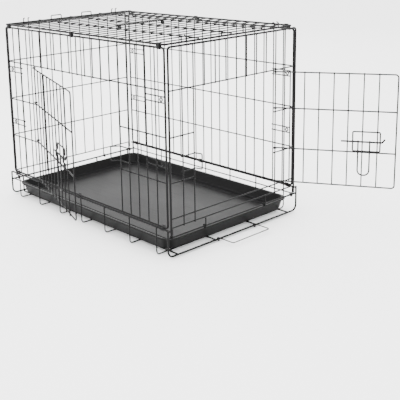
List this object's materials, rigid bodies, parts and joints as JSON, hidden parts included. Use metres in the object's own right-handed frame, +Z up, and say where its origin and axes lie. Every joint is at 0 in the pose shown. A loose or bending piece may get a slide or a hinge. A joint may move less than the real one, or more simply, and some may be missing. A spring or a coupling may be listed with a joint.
{
  "type": "wire dog crate",
  "caption": "Folding wire dog crate with a door in one long side and one in an end, sliding latches, a pull-out plastic tray behind a drop gate, and a carry handle on top.",
  "frame": {"origin": "middle of the ground under the base", "axes": "+X towards the end with the door and the tray's gate, +Y towards the side without a door, +Z up"},
  "size_m": [0.8614, 0.6088, 0.4771],
  "materials": {
    "wire": "satin black coating on steel wire",
    "tray_plastic": "black moulded plastic, fine texture",
    "handle_plastic": "black moulded plastic, fine texture"
  },
  "bodies": {
    "cage": {"base_end_frames": "wire", "base_cross_wires": "wire", "base_floor_wires": "wire", "base_top_rails": "wire", "base_middle_rails": "wire", "base_end_rails": "wire", "far_hinge_clips": "wire", "near_hook_clips": "wire", "front_frame": "wire", "front_bars": "wire", "front_uprights": "wire", "front_legs": "wire", "end_door_keeper": "wire"},
    "tray": {"tray": "tray_plastic"},
    "gate": {"tray_gate": "wire"},
    "end_door": {"end_door_frame": "wire", "end_door_uprights": "wire", "end_door_bars": "wire", "end_door_latch_guide": "wire"},
    "end_latch": {"end_door_latch_bolt": "wire", "end_door_latch_handle": "wire"},
    "rear_end": {"rear_frame": "wire", "rear_bars": "wire", "rear_uprights": "wire", "rear_legs": "wire"},
    "far_side": {"far_frame": "wire", "far_uprights": "wire", "far_bars": "wire", "far_catch_bars": "wire", "far_catch_rings": "wire"},
    "top_link": {"top_hinge_clips": "wire"},
    "top_panel": {"top_frame": "wire", "top_cross_wires": "wire", "top_long_wires": "wire", "top_prongs": "wire", "top_bows": "wire", "near_hinge_clips": "wire"},
    "near_side": {"near_frame": "wire", "near_uprights": "wire", "near_bars": "wire", "near_catch_bars": "wire", "near_catch_rings": "wire", "side_door_keeper": "wire"},
    "side_door": {"side_door_frame": "wire", "side_door_uprights": "wire", "side_door_bars": "wire", "side_door_latch_guide": "wire"},
    "side_latch": {"side_door_latch_bolt": "wire", "side_door_latch_handle": "wire"},
    "handle": {"carry_handle": "handle_plastic"}
  },
  "joints": [
    {"name": "tray_slide", "type": "slide", "parent": "cage", "child": "tray", "axis": [1, 0, 0], "range_m": [0, 0.5]},
    {"name": "tray_gate_swing", "type": "hinge", "parent": "cage", "child": "gate", "pos_m": [0.3127, 0, 0.005], "axis": [0, 1, 0], "range_deg": [-84, 0]},
    {"name": "end_door_swing", "type": "hinge", "parent": "cage", "child": "end_door", "pos_m": [0.3126, 0.13333, 0.23], "axis": [0, 0, 1], "range_deg": [-121, 35]},
    {"name": "end_latch_slide", "type": "slide", "parent": "end_door", "child": "end_latch", "axis": [-0.8572, -0.515, 0], "range_m": [-0.019, 0]},
    {"name": "rear_end_fold", "type": "hinge", "parent": "cage", "child": "rear_end", "pos_m": [-0.30838, 0, 0.046], "axis": [0, 1, 0], "range_deg": [0, 90]},
    {"name": "far_side_fold", "type": "hinge", "parent": "cage", "child": "far_side", "pos_m": [0, 0.2075, 0.068], "axis": [1, 0, 0], "range_deg": [0, 90]},
    {"name": "top_link_fold", "type": "hinge", "parent": "far_side", "child": "top_link", "pos_m": [0, 0.2075, 0.45479], "axis": [1, 0, 0], "range_deg": [-135, 0]},
    {"name": "top_fold", "type": "hinge", "parent": "top_link", "child": "top_panel", "pos_m": [0, 0.19859, 0.4637], "axis": [1, 0, 0], "range_deg": [-135, 0]},
    {"name": "near_side_fold", "type": "hinge", "parent": "top_panel", "child": "near_side", "pos_m": [0, -0.2075, 0.4568], "axis": [1, 0, 0], "range_deg": [0, 90]},
    {"name": "side_door_swing", "type": "hinge", "parent": "near_side", "child": "side_door", "pos_m": [-0.18288, -0.2075, 0.22], "axis": [0, 0, -1], "range_deg": [-20, 135]},
    {"name": "side_latch_slide", "type": "slide", "parent": "side_door", "child": "side_latch", "axis": [-0.9397, 0.342, 0], "range_m": [-0.019, 0]},
    {"name": "carry_handle_swing", "type": "hinge", "parent": "top_panel", "child": "handle", "pos_m": [0, 0, 0.4637], "axis": [0, -1, 0], "range_deg": [-90, 0]}
  ],
  "couplings": [
    {"joint": "top_link_fold", "follows": "far_side_fold", "ratio": -1.5},
    {"joint": "top_fold", "follows": "far_side_fold", "ratio": -1.5},
    {"joint": "near_side_fold", "follows": "far_side_fold", "ratio": 1}
  ]
}
